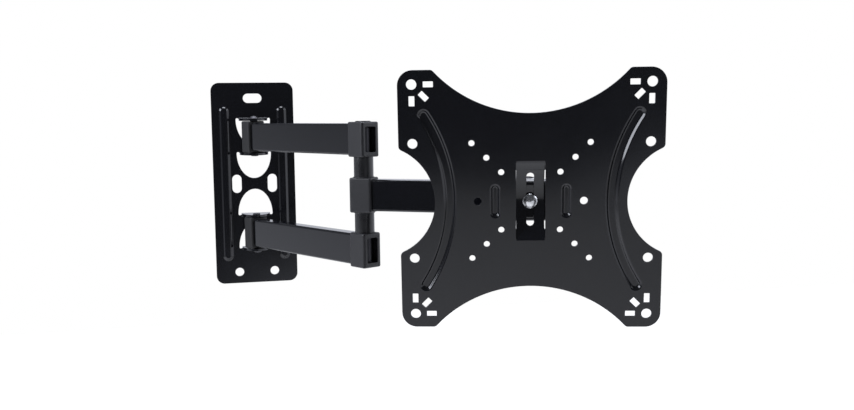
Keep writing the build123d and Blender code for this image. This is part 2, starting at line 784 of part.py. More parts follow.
tv_plate.part.label = "tv_plate"
export_step(tv_plate.part, "parts/tv_plate.step")
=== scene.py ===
"""Looks of the full-motion television wall mount.

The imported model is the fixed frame. Sheet steel, tubes and mouldings are finished from copies of
their solids with rounded edges, and bolts, nuts and pins are surfaces worked out with numpy.
Lengths are metres unless a name says otherwise.
"""

import json
import math

import bmesh
import bpy
import numpy as np
from bpy.props import FloatProperty, FloatVectorProperty, PointerProperty
from mathutils import Matrix, Vector


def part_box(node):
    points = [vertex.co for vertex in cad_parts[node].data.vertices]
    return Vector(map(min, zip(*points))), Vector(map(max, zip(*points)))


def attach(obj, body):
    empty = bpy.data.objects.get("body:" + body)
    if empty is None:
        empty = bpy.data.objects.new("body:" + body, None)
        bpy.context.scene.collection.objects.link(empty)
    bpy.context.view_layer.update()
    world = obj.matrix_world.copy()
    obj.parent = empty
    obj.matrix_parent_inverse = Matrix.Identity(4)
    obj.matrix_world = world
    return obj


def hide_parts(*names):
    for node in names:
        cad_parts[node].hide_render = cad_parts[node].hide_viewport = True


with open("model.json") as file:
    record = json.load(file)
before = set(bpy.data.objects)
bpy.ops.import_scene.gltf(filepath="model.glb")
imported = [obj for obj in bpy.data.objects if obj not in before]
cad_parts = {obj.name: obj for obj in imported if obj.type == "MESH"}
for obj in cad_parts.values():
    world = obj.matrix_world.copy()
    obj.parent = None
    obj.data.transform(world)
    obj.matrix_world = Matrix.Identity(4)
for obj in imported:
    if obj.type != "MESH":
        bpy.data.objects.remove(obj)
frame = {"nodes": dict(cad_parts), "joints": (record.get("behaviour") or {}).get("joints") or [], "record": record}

bl_info = {
    "name": "Television wall mount",
    "version": (1, 0, 0),
    "blender": (4, 5, 0),
    "location": "View3D > Sidebar > Wall Mount",
    "description": "Finishes, fasteners, lamps and camera of a full-motion television wall mount",
    "category": "Object",
}

MM = 0.001
JOINTS = {joint["name"]: joint for joint in frame["joints"]}
UP = Vector((0, 0, 1))

# Points round a turned piece, in one pitch of a thread, and from the top of a dome to its rim
ROUND_STEPS = 96
THREAD_STEPS = 12
DOME_STEPS = 10

# How near two points count as one, in a copy of a solid and in a turned piece
MERGE_DISTANCE = 1e-6
TURNED_MERGE = 1e-7

# Turns between two faces: under the first they are one flat face, over the next two they meet in
# a crease or in a rim, and over the last the shading doesn't blend across them
FLAT_ANGLE = math.radians(0.2)
CREASE_ANGLE = math.radians(27)
RIM_ANGLE = math.radians(62)
CORNER_ANGLE = math.radians(46)

# Limits of the rounding: faces of more corners than this are long and flat, a bevel takes this
# share of its room, an edge past this cosine goes on in the same direction, and a face is
# outermost when no point stands further than this in front of it
FLAT_CORNERS = 8
BEVEL_SHARE = 0.42
ALONGSIDE = 0.7
OUTSIDE_SLACK = 0.01 * MM
BEVEL_SEGMENTS = 3

# The mix node's colour sockets, which share their names with its number sockets
MIX_FIRST, MIX_SECOND, MIX_RESULT = 6, 7, 2

# Sizes of the threads and heads, as in the solids that they replace
M8_PITCH = 1.25 * MM
M6_PITCH = 1.0 * MM
THREAD_DEPTH_SHARE = 0.61
BOLT_FLATS = 13.0 * MM
BOLT_RADIUS = 4.0 * MM
NUT_BORE_RADIUS = 4.1 * MM
WALL_PIN_RADIUS = 4.0 * MM
WALL_HEAD_RADIUS = 6.0 * MM
WALL_HEAD_RISE = 3.0 * MM
SWIVEL_PIN_RADIUS = 3.5 * MM
SWIVEL_HEAD_RADIUS = 6.5 * MM
SWIVEL_HEAD_HEIGHT = 1.8 * MM
RIVET_RADIUS = 4.7 * MM
RIVET_HEIGHT = 1.1 * MM
BRACKET_HALF_HEIGHT = 18.0 * MM
BRACKET_LEAN = math.radians(3.0)
TILT_HEAD_RADIUS = 6.35 * MM
TILT_HEAD_RISE = 3.3 * MM
TILT_HEAD_BASE = 51.409 * MM
TILT_NECK = 6.0 * MM
TILT_NECK_END = 54.1 * MM
TILT_BOLT_RADIUS = 3.0 * MM
TILT_NUT_FLATS = 10.0 * MM
TILT_NUT_SEAT = 57.9 * MM
TILT_NUT_HEIGHT = 5.0 * MM
TILT_BOLT_END = 64.4 * MM
TILT_BORE_RADIUS = 3.1 * MM
SCREW_POINT = 0.8 * MM

# Width of the picture in pixels, and of the camera's sensor in its own millimetres
PHOTO_WIDTH = 854
SENSOR_WIDTH = 36.0

# Glow of the floor for the camera and in mirrors, the faintly cool colour of the light, and the
# lines that the surroundings change along
CAMERA_GLOW = 0.8
MIRRORED_GLOW = 0.3
STUDIO_LIGHT = (0.93, 0.96, 1.06)
SWEEP_LINE = (0.75, 0.0, -2.5)
FRONT_LINE = (0.0, -1.0, 0.0)
HORIZON_LINE = (-0.43, 0.0, 1.0)


def linear(colour):
    """Turn an sRGB hex colour into linear red, green and blue."""
    parts = np.array([int(colour[i : i + 2], 16) for i in (1, 3, 5)]) / 255
    low = parts / 12.92
    high = ((parts + 0.055) / 1.055) ** 2.4
    return tuple(np.where(parts <= 0.04045, low, high).tolist())


class MountSizes(bpy.types.PropertyGroup):
    """Roundings that the press, the mould and the coating leave on the edges."""

    rim_round: FloatProperty(
        name="Sheet rim", description="Rounding of cut sheet edges under the coat",
        default=0.15 * MM, min=0.05 * MM, max=1.0 * MM, unit="LENGTH", precision=5,
    )
    crease_round: FloatProperty(
        name="Pressed crease", description="Rounding where a pressed rib leaves the sheet",
        default=0.8 * MM, min=0.2 * MM, max=1.2 * MM, unit="LENGTH", precision=5,
    )
    mould_round: FloatProperty(
        name="Moulded edge", description="Rounding of the other edges of the plastic pieces",
        default=0.15 * MM, min=0.05 * MM, max=1.0 * MM, unit="LENGTH", precision=5,
    )
    corner_round: FloatProperty(
        name="Cap corner", description="Rounding of the plastic caps' outermost edges",
        default=1.2 * MM, min=0.3 * MM, max=1.6 * MM, unit="LENGTH", precision=5,
    )
    metal_round: FloatProperty(
        name="Fastener edge", description="Rounding of the corners of bolts and nuts",
        default=0.15 * MM, min=0.05 * MM, max=0.6 * MM, unit="LENGTH", precision=5,
    )


class MountFinishes(bpy.types.PropertyGroup):
    """Colours of the finishes, and the size of the coating's ripple."""

    coat_colour: FloatVectorProperty(
        name="Powder coat", description="Colour of the black powder coat",
        subtype="COLOR", size=3, default=linear("#0d0e12"), min=0, max=1,
    )
    nylon_colour: FloatVectorProperty(
        name="Moulded nylon", description="Colour of the outer caps and the hub's cap",
        subtype="COLOR", size=3, default=linear("#18181b"), min=0, max=1,
    )
    sleeve_colour: FloatVectorProperty(
        name="Smooth nylon", description="Colour of the elbow's sleeves and the front plug",
        subtype="COLOR", size=3, default=linear("#141416"), min=0, max=1,
    )
    shoe_colour: FloatVectorProperty(
        name="Matt nylon", description="Colour of the dark caps at the wall",
        subtype="COLOR", size=3, default=linear("#0b0b0c"), min=0, max=1,
    )
    oxide_colour: FloatVectorProperty(
        name="Black oxide", description="Colour of the blackened bolts, nuts and bushes",
        subtype="COLOR", size=3, default=linear("#3a3a3d"), min=0, max=1,
    )
    zinc_colour: FloatVectorProperty(
        name="Zinc plating", description="Colour of the bright tilt bolt",
        subtype="COLOR", size=3, default=linear("#e2e3e4"), min=0, max=1,
    )
    washer_colour: FloatVectorProperty(
        name="Nylon washer", description="Colour of the thin bearing washers",
        subtype="COLOR", size=3, default=linear("#2e2e30"), min=0, max=1,
    )
    coat_ripple: FloatProperty(
        name="Coat ripple", description="Spacing of the powder coat's orange peel",
        default=1.6 * MM, min=0.3 * MM, max=6 * MM, unit="LENGTH", precision=5,
    )


def add_node(tree, kind, settings=None, inputs=None, links=None):
    """Add a node with its settings, its input values and its links from other sockets."""
    node = tree.nodes.new(kind)
    for name, value in (settings or {}).items():
        setattr(node, name, value)
    for name, value in (inputs or {}).items():
        node.inputs[name].default_value = value
    for name, source in (links or {}).items():
        tree.links.new(source, node.inputs[name])
    return node


def start_material(name):
    """Return a new material, its empty node tree and the object coordinates' socket."""
    material = bpy.data.materials.new(name)
    material.use_nodes = True
    material.node_tree.nodes.clear()
    place = add_node(material.node_tree, "ShaderNodeTexCoord").outputs["Object"]
    return material, material.node_tree, place


def end_material(tree, inputs, links):
    """Close a material with its surface shader and its output."""
    surface = add_node(tree, "ShaderNodeBsdfPrincipled", inputs=inputs, links=links)
    add_node(tree, "ShaderNodeOutputMaterial", links={"Surface": surface.outputs["BSDF"]})


def powder_coat(name, colour, ripple):
    """Make baked black powder coat on steel.

    Its semi-gloss film mirrors bright surroundings softly, the orange peel breaks that mirror
    up, and a little unevenness in the gloss keeps large faces from looking printed.
    """
    material, tree, place = start_material(name)
    peel = add_node(
        tree, "ShaderNodeTexNoise",
        inputs={"Scale": 1 / ripple, "Detail": 2.0, "Roughness": 0.45}, links={"Vector": place},
    )
    bump = add_node(
        tree, "ShaderNodeBump", inputs={"Strength": 0.1, "Distance": 0.03 * MM},
        links={"Height": peel.outputs["Fac"]},
    )
    # Drifts of thicker powder, about 45 mm across
    drift = add_node(
        tree, "ShaderNodeTexNoise",
        inputs={"Scale": 1 / (45 * MM), "Detail": 3.0, "Roughness": 0.6}, links={"Vector": place},
    )
    gloss = add_node(
        tree, "ShaderNodeMapRange",
        inputs={"From Min": 0.3, "From Max": 0.7, "To Min": 0.11, "To Max": 0.15},
        links={"Value": drift.outputs["Fac"]},
    )
    # Slightly darker and paler grains, drawn 0.5 mm wide because real ones are too fine to show
    grain = add_node(
        tree, "ShaderNodeTexNoise",
        inputs={"Scale": 1 / (0.5 * MM), "Detail": 1.0}, links={"Vector": place},
    )
    darker, paler = (tuple(share * c for c in colour) for share in (0.8, 1.2))
    shade = add_node(
        tree, "ShaderNodeMix", settings={"data_type": "RGBA"},
        inputs={MIX_FIRST: (*darker, 1), MIX_SECOND: (*paler, 1)},
        links={"Factor": grain.outputs["Fac"]},
    )
    end_material(
        tree,
        {"Metallic": 0.0, "IOR": 1.5},
        {
            "Base Color": shade.outputs[MIX_RESULT],
            "Roughness": gloss.outputs["Result"],
            "Normal": bump.outputs["Normal"],
        },
    )
    return material


def moulded_nylon(name, colour, roughness, grit):
    """Make injection-moulded nylon with a spark-eroded texture.

    The pits scatter the light, so it is greyer and flatter than the coated steel. Real pits are
    too fine to show, so they are drawn as wide as the grit.
    """
    material, tree, place = start_material(name)
    pits = add_node(
        tree, "ShaderNodeTexNoise",
        inputs={"Scale": 1 / grit, "Detail": 3.0, "Roughness": 0.65}, links={"Vector": place},
    )
    bump = add_node(
        tree, "ShaderNodeBump", inputs={"Strength": 0.35, "Distance": 0.05 * MM},
        links={"Height": pits.outputs["Fac"]},
    )
    # Faint flow marks in the moulding, about 12 mm apart
    flow = add_node(
        tree, "ShaderNodeTexNoise",
        inputs={"Scale": 1 / (12 * MM), "Detail": 2.0}, links={"Vector": place},
    )
    sheen = add_node(
        tree, "ShaderNodeMapRange",
        inputs={
            "From Min": 0.3, "From Max": 0.7,
            "To Min": roughness - 0.04, "To Max": roughness + 0.05,
        },
        links={"Value": flow.outputs["Fac"]},
    )
    end_material(
        tree,
        {"Base Color": (*colour, 1), "Metallic": 0.0, "IOR": 1.53},
        {"Roughness": sheen.outputs["Result"], "Normal": bump.outputs["Normal"]},
    )
    return material


def black_oxide(name, colour):
    """Make blackened steel: a dark metal film over turned metal, with an oily soft shine."""
    material, tree, place = start_material(name)
    # Tool marks under the film, drawn 0.8 mm apart because real ones are too fine to show
    turning = add_node(
        tree, "ShaderNodeTexNoise",
        inputs={"Scale": 1 / (0.8 * MM), "Detail": 3.0, "Roughness": 0.6}, links={"Vector": place},
    )
    bump = add_node(
        tree, "ShaderNodeBump", inputs={"Strength": 0.12, "Distance": 0.03 * MM},
        links={"Height": turning.outputs["Fac"]},
    )
    film = add_node(
        tree, "ShaderNodeMapRange",
        inputs={"From Min": 0.3, "From Max": 0.7, "To Min": 0.36, "To Max": 0.5},
        links={"Value": turning.outputs["Fac"]},
    )
    end_material(
        tree,
        {"Base Color": (*colour, 1), "Metallic": 0.85},
        {"Roughness": film.outputs["Result"], "Normal": bump.outputs["Normal"]},
    )
    return material


def bright_zinc(name, colour):
    """Make bright zinc plating: its crystals tint a soft mirror in patches.

    Real crystals are too fine to show, so they are drawn 1 to 2 mm wide.
    """
    material, tree, place = start_material(name)
    crystals = add_node(
        tree, "ShaderNodeTexVoronoi", inputs={"Scale": 1 / (1.4 * MM)}, links={"Vector": place},
    )
    cloud = add_node(
        tree, "ShaderNodeTexNoise",
        inputs={"Scale": 1 / (2.2 * MM), "Detail": 3.0, "Roughness": 0.6}, links={"Vector": place},
    )
    darker = tuple(0.6 * c for c in colour)
    shade = add_node(
        tree, "ShaderNodeMix", settings={"data_type": "RGBA"},
        inputs={MIX_FIRST: (*darker, 1), MIX_SECOND: (*colour, 1)},
        links={"Factor": cloud.outputs["Fac"]},
    )
    blur = add_node(
        tree, "ShaderNodeMapRange", inputs={"To Min": 0.18, "To Max": 0.3},
        links={"Value": crystals.outputs["Distance"]},
    )
    bump = add_node(
        tree, "ShaderNodeBump", inputs={"Strength": 0.15, "Distance": 0.05 * MM},
        links={"Height": cloud.outputs["Fac"]},
    )
    end_material(
        tree,
        {"Metallic": 1.0},
        {
            "Base Color": shade.outputs[MIX_RESULT],
            "Roughness": blur.outputs["Result"],
            "Normal": bump.outputs["Normal"],
        },
    )
    return material


# Colour property, roughness and width of the grit of each moulded nylon
NYLONS = {
    "black_nylon": ("nylon_colour", 0.44, 0.6 * MM),
    "polished_black_nylon": ("sleeve_colour", 0.3, 0.6 * MM),
    "matt_black_nylon": ("shoe_colour", 0.66, 0.6 * MM),
    "natural_nylon": ("washer_colour", 0.45, 0.9 * MM),
}


def finish(slot):
    """Return the material of a slot or of a look of it, made when it is first asked for."""
    found = bpy.data.materials.get(f"finish_{slot}")
    if found is not None:
        return found
    looks = bpy.context.scene.mount_finishes
    name = f"finish_{slot}"
    if slot == "black_powder_coat":
        return powder_coat(name, looks.coat_colour, looks.coat_ripple)
    if slot in NYLONS:
        colour, roughness, grit = NYLONS[slot]
        return moulded_nylon(name, getattr(looks, colour), roughness, grit)
    if slot == "black_steel":
        return black_oxide(name, looks.oxide_colour)
    if slot == "zinc_plated_steel":
        return bright_zinc(name, looks.zinc_colour)
    raise ValueError(f"no finish is made for the slot {slot}")


def body_of_node(node):
    """Return the name of the body that a node of the frame belongs to."""
    groups = frame["record"]["behaviour"]["bodies"]
    return next(body for body, members in groups.items() if node in members)


def is_sharp(edge):
    """Tell whether the faces beside an edge turn by more than a crease's angle."""
    return len(edge.link_faces) == 2 and edge.calc_face_angle(0) > CREASE_ANGLE


def edge_room(edge):
    """Return how wide a bevel an edge can take, as a share of the narrowest thing beside it.

    The breadth of a long face is twice its area over its outline. Faces of a few corners belong
    to a rounded surface and set no limit. A sharp edge that leaves across this one's end sets
    its own length, and one that goes on in nearly the same direction sets none.
    """
    flats = [face for face in edge.link_faces if len(face.verts) > FLAT_CORNERS]
    rooms = [2 * face.calc_area() / face.calc_perimeter() for face in flats]
    for corner in edge.verts:
        along = edge.other_vert(corner).co - corner.co
        for other in corner.link_edges:
            across = other.other_vert(corner).co - corner.co
            leaves = abs(along.dot(across)) < ALONGSIDE * along.length * across.length
            if other is not edge and is_sharp(other) and leaves:
                rooms.append(across.length)
    return BEVEL_SHARE * min(rooms, default=1.0)


def weigh_edges(shape, rim, crease, outermost=None):
    """Give each sharp edge its share of the bevel, and return the full width.

    An outward edge between faces turned by more than a rim's angle gets the rim's width, or the
    outermost width where nothing of the piece lies in front of either face, and an inward one
    stays sharp. An edge past a crease's angle gets the crease's width, inward or outward.
    """
    widest = max(rim, crease, outermost or 0)
    layer = shape.edges.layers.float.new("bevel_weight_edge")
    outside = set()
    if outermost:
        points = np.array([v.co for v in shape.verts])
        for face in shape.faces:
            reach = points @ np.array(face.normal) - face.normal.dot(face.verts[0].co)
            if reach.max() < OUTSIDE_SLACK:
                outside.add(face)
    for edge in shape.edges:
        if len(edge.link_faces) != 2:
            continue
        turn = edge.calc_face_angle(0)
        if turn > RIM_ANGLE and edge.is_convex:
            width = outermost if outside.issuperset(edge.link_faces) else rim
        elif RIM_ANGLE > turn > CREASE_ANGLE:
            width = crease
        else:
            continue
        edge[layer] = min(width, edge_room(edge)) / widest
    return widest


def keep_corners(mesh):
    """Mark the corners that no bevel has rounded, so that the shading doesn't blend over them."""
    shape = bmesh.new()
    shape.from_mesh(mesh)
    for edge in shape.edges:
        edge.smooth = len(edge.link_faces) != 2 or edge.calc_face_angle(0) < CORNER_ANGLE
    shape.to_mesh(mesh)
    shape.free()


def place_piece(name, mesh, width, slot, node):
    """Show a mesh in place of a node, with rounded edges and the finish of a slot."""
    mesh.polygons.foreach_set("use_smooth", np.ones(len(mesh.polygons), bool))
    piece = bpy.data.objects.new(name, mesh)
    bpy.context.scene.collection.objects.link(piece)
    bevel = piece.modifiers.new("Rounded edges", "BEVEL")
    bevel.limit_method = "WEIGHT"
    bevel.width = width
    bevel.segments = BEVEL_SEGMENTS
    bevel.use_clamp_overlap = False
    bevel.miter_outer = "MITER_ARC"
    rounded = piece.evaluated_get(bpy.context.evaluated_depsgraph_get())
    piece.data = bpy.data.meshes.new_from_object(rounded)
    piece.modifiers.clear()
    keep_corners(piece.data)
    piece.data.materials.clear()
    piece.data.materials.append(finish(slot))
    shading = piece.modifiers.new("Even shading", "WEIGHTED_NORMAL")
    shading.keep_sharp = True
    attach(piece, body_of_node(node))
    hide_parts(node)
    return piece


def soften(node, slot, rim, crease, outermost=None):
    """Show a copy of a node with its doubles merged, its flat faces joined and its edges round."""
    shape = bmesh.new()
    shape.from_mesh(frame["nodes"][node].data)
    bmesh.ops.remove_doubles(shape, verts=shape.verts, dist=MERGE_DISTANCE)
    bmesh.ops.dissolve_limit(
        shape, angle_limit=FLAT_ANGLE, use_dissolve_boundaries=False,
        verts=shape.verts, edges=shape.edges,
    )
    width = weigh_edges(shape, rim, crease, outermost)
    mesh = bpy.data.meshes.new(f"{node}_finished")
    shape.to_mesh(mesh)
    shape.free()
    return place_piece(f"{node}_finished", mesh, width, slot, node)


def turned_mesh(name, origin, axis, start, radius, height, hard_rows, rim, ring=False):
    """Make a mesh from rows of points round an axis.

    Point (i, j) lies at the angle 2 pi j / n from the start direction, radius[i, j] from the
    axis and height[i, j] along it from the origin. The rows close on the axis at both ends, or
    on each other where the piece is a ring. The sharp edges of the first hard rows get the
    rim's rounding, as far as the facets beside them are broad enough for it.
    """
    rows, steps = radius.shape
    angle = np.linspace(0, 2 * np.pi, steps, endpoint=False)
    out = np.array(start.normalized())
    along = np.array(axis.normalized())
    side = np.cross(along, out)
    spoke = np.cos(angle)[:, None] * out + np.sin(angle)[:, None] * side
    points = np.array(origin) + radius[..., None] * spoke + height[..., None] * along
    i, j = np.meshgrid(np.arange(rows if ring else rows - 1), np.arange(steps), indexing="ij")
    row, next_row, after = i * steps, (i + 1) % rows * steps, (j + 1) % steps
    quads = np.stack([row + j, row + after, next_row + after, next_row + j], -1)
    mesh = bpy.data.meshes.new(name)
    mesh.from_pydata(points.reshape(-1, 3).tolist(), [], quads.reshape(-1, 4).tolist())
    shape = bmesh.new()
    shape.from_mesh(mesh)
    bmesh.ops.recalc_face_normals(shape, faces=shape.faces)
    layer = shape.edges.layers.float.new("bevel_weight_edge")
    shape.verts.index_update()
    for edge in shape.edges:
        hard = max(v.index for v in edge.verts) < hard_rows * steps
        if hard and edge.calc_length() > 0 and edge.calc_face_angle(0) > CREASE_ANGLE:
            narrowest = min(face.calc_area() for face in edge.link_faces) / edge.calc_length()
            edge[layer] = min(1.0, BEVEL_SHARE * narrowest / rim)
    bmesh.ops.remove_doubles(shape, verts=shape.verts, dist=TURNED_MERGE)
    shape.to_mesh(mesh)
    shape.free()
    return mesh


def round_rows(profile):
    """Spread a profile of (radius, height) pairs round the full turn, one row for each pair."""
    pairs = np.array(profile, float)
    return np.repeat(pairs[:, :1], ROUND_STEPS, 1), np.repeat(pairs[:, 1:], ROUND_STEPS, 1)


def polygon_radius(sides, flats):
    """Return the radius of a regular polygon at each step of the turn.

    At an angle it is half the flats over the cosine of the angle from the middle of a side.
    """
    angle = np.linspace(0, 2 * np.pi, ROUND_STEPS, endpoint=False)
    return flats / 2 / np.cos(angle % (2 * np.pi / sides) - np.pi / sides)


def hexagon_rows(flats, low, high):
    """Return the rows of a hexagon from its top face down to its seat.

    A cone of 30 degrees turns the corners off, so a side stops where it meets the cone, at a
    height that falls by the tangent of 30 degrees times how far the side is past the flats.
    """
    side = polygon_radius(6, flats)
    turned_off = (side - flats / 2) * math.tan(math.pi / 6)
    flat = np.full(ROUND_STEPS, flats / 2)
    level = np.ones(ROUND_STEPS)
    return np.array([flat, side, side]), np.array([level * high, high - turned_off, level * low])


def thread_rows(radius, pitch, top, bottom):
    """Return the rows of a screw thread from its top down to its bottom.

    The radius falls from the crest to the root and back once in each pitch, as a triangle wave
    whose phase follows the angle, so the groove climbs as a helix. The groove fades out over
    the first turn.
    """
    count = int(round((top - bottom) / pitch * THREAD_STEPS))
    height = np.linspace(top, bottom, count)[:, None]
    angle = np.linspace(0, 2 * np.pi, ROUND_STEPS, endpoint=False)[None, :]
    phase = (height / pitch - angle / (2 * np.pi)) % 1
    wave = 1 - np.abs(2 * phase - 1)
    fade = np.clip((top - height) / pitch, 0, 1)
    depth = THREAD_DEPTH_SHARE * pitch * fade
    return radius - depth * wave, np.repeat(height, ROUND_STEPS, 1)


def stack(*parts):
    """Join rows of radii and heights, given as pairs of arrays, into one grid of each."""
    return np.vstack([p[0] for p in parts]), np.vstack([p[1] for p in parts])


def dome_profile(radius, rise, base):
    """Return a spherical cap from its top to its rim, as pairs of radius and height.

    The sphere's radius follows from the cap's radius and rise, and equal steps of angle on it
    give the points.
    """
    sphere = (radius**2 + rise**2) / (2 * rise)
    turn = np.linspace(0, math.asin(min(1, radius / sphere)), DOME_STEPS)
    drop = sphere * (1 - np.cos(turn))
    return np.stack([sphere * np.sin(turn), base + rise - drop], 1).tolist()


def joint_place(joint):
    """Return the point that a joint turns about."""
    return Vector(JOINTS[joint]["pos_m"])


def arm_direction():
    """Return the level direction of the arms, from the wall's pivot to the elbow."""
    return (joint_place("elbow_swivel") - joint_place("wall_swivel")).normalized()


class MOUNT_OT_sheet_steel(bpy.types.Operator):
    """Finish the wall plate, the swivel bracket and the television plate"""

    bl_idname = "mount.sheet_steel"
    bl_label = "Sheet steel"

    def execute(self, context):
        sizes = context.scene.mount_sizes
        for node in ("wall_plate", "swivel_bracket", "tv_plate"):
            soften(node, "black_powder_coat", sizes.rim_round, sizes.crease_round)
        return {"FINISHED"}


class MOUNT_OT_arm_tubes(bpy.types.Operator):
    """Finish the three rectangular tubes"""

    bl_idname = "mount.arm_tubes"
    bl_label = "Arm tubes"

    def execute(self, context):
        rim = context.scene.mount_sizes.rim_round
        for node in ("upper_arm_tube", "lower_arm_tube", "centre_arm_tube"):
            soften(node, "black_powder_coat", rim, rim)
        return {"FINISHED"}


class MOUNT_OT_mouldings(bpy.types.Operator):
    """Finish the moulded caps, the front plug and the sleeves"""

    bl_idname = "mount.mouldings"
    bl_label = "Mouldings"

    def execute(self, context):
        sizes = context.scene.mount_sizes
        rim, corner = sizes.mould_round, sizes.corner_round
        for look, outermost, nodes in (
            ("black_nylon", corner, ("upper_outer_cap", "lower_outer_cap", "hub_cap")),
            ("polished_black_nylon", None, ("upper_spacer", "lower_spacer", "front_plug")),
            # The caps at the wall keep the black nylon's slot but are drawn in a darker, rougher copy of it
            ("matt_black_nylon", corner, ("upper_inner_cap", "lower_inner_cap")),
        ):
            for node in nodes:
                piece = soften(node, "black_nylon", rim, rim, outermost)
                piece.data.materials[0] = finish(look)
        return {"FINISHED"}


class MOUNT_OT_washers(bpy.types.Operator):
    """Give the bushes and thin washers their finishes"""

    bl_idname = "mount.washers"
    bl_label = "Bushes and washers"

    def execute(self, context):
        slots = {
            "black_steel": ("upper_elbow_bush", "lower_elbow_bush", "hub_bush"),
            "natural_nylon": ("hub_washers", "swivel_washers"),
            "zinc_plated_steel": ("tilt_washer",),
        }
        for slot, nodes in slots.items():
            for node in nodes:
                mesh = frame["nodes"][node].data
                mesh.materials.clear()
                mesh.materials.append(finish(slot))
        return {"FINISHED"}


def make_nut(name, node, slot, frame_of_nut, flats, bore, low, high, rim):
    """Show a hexagon nut: its heights count along its axis from the origin to its turned face."""
    place, axis, start = frame_of_nut
    countersink = 0.5 * MM
    radius, height = stack(
        hexagon_rows(flats, low, high),
        round_rows([(bore + countersink, low), (bore, low + countersink)]),
        round_rows([(bore, high - countersink), (bore + countersink, high)]),
    )
    mesh = turned_mesh(name, place, axis, start, radius, height, len(radius), rim, ring=True)
    return place_piece(name, mesh, rim, slot, node)


class MOUNT_OT_elbow_bolt(bpy.types.Operator):
    """Make the hexagon bolt through the elbow, and its nut"""

    bl_idname = "mount.elbow_bolt"
    bl_label = "Elbow bolt"

    def execute(self, context):
        rim = context.scene.mount_sizes.metal_round
        place = joint_place("elbow_swivel")
        low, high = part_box("elbow_bolt")
        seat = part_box("upper_elbow_bush")[1].z
        nut_low, nut_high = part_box("elbow_nut")
        past_nut = 6 * MM
        thread_top = nut_high.z + past_nut
        head = stack(round_rows([(0, high.z)]), hexagon_rows(BOLT_FLATS, seat, high.z))
        radius, height = stack(
            head,
            round_rows([(BOLT_RADIUS, seat)]),
            thread_rows(BOLT_RADIUS, M8_PITCH, thread_top, low.z + SCREW_POINT),
            round_rows([(BOLT_RADIUS - SCREW_POINT, low.z), (0, low.z)]),
        )
        hard_rows = len(head[0]) + 1
        mesh = turned_mesh(
            "elbow_bolt_threaded", place, UP, arm_direction(), radius, height, hard_rows, rim
        )
        place_piece("elbow_bolt_threaded", mesh, rim, "black_steel", "elbow_bolt")
        make_nut(
            "elbow_nut_turned", "elbow_nut", "black_steel", (place, -UP, arm_direction()),
            BOLT_FLATS, NUT_BORE_RADIUS, -nut_high.z, -nut_low.z, rim,
        )
        return {"FINISHED"}


class MOUNT_OT_wall_pins(bpy.types.Operator):
    """Make the two domed pins that the arms turn on at the wall"""

    bl_idname = "mount.wall_pins"
    bl_label = "Wall pins"

    def execute(self, context):
        rim = context.scene.mount_sizes.metal_round
        place = joint_place("wall_swivel")
        for side, axis in (("upper", UP), ("lower", -UP)):
            low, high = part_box(f"{side}_wall_pin")
            top, bottom = sorted((abs(low.z), abs(high.z)), reverse=True)
            under = top - WALL_HEAD_RISE
            edge = 0.6 * MM
            radius, height = stack(
                round_rows(dome_profile(WALL_HEAD_RADIUS, WALL_HEAD_RISE, under)),
                round_rows([(WALL_PIN_RADIUS, under), (WALL_PIN_RADIUS, bottom + edge)]),
                round_rows([(WALL_PIN_RADIUS - edge, bottom), (0, bottom)]),
            )
            name = f"{side}_wall_pin_domed"
            mesh = turned_mesh(
                name, place, axis, arm_direction(), radius, height, len(radius), rim
            )
            place_piece(name, mesh, rim, "black_steel", f"{side}_wall_pin")
        return {"FINISHED"}


class MOUNT_OT_swivel_pin(bpy.types.Operator):
    """Make the front pin, flat-headed below and riveted over above the bracket"""

    bl_idname = "mount.swivel_pin"
    bl_label = "Swivel pin"

    def execute(self, context):
        rim = context.scene.mount_sizes.metal_round
        half = BRACKET_HALF_HEIGHT
        foot = -half - SWIVEL_HEAD_HEIGHT
        edge = 0.5 * MM
        peened = 0.35 * MM
        radius, height = stack(
            round_rows(dome_profile(RIVET_RADIUS, RIVET_HEIGHT - peened, half + peened)),
            round_rows([(RIVET_RADIUS, half), (SWIVEL_PIN_RADIUS, half)]),
            round_rows([(SWIVEL_PIN_RADIUS, -half), (SWIVEL_HEAD_RADIUS, -half)]),
            round_rows([(SWIVEL_HEAD_RADIUS, foot + edge)]),
            round_rows([(SWIVEL_HEAD_RADIUS - edge, foot), (0, foot)]),
        )
        mesh = turned_mesh(
            "swivel_pin_riveted", joint_place("head_swivel"), UP, arm_direction(),
            radius, height, len(radius), rim,
        )
        place_piece("swivel_pin_riveted", mesh, rim, "black_steel", "swivel_pin")
        return {"FINISHED"}


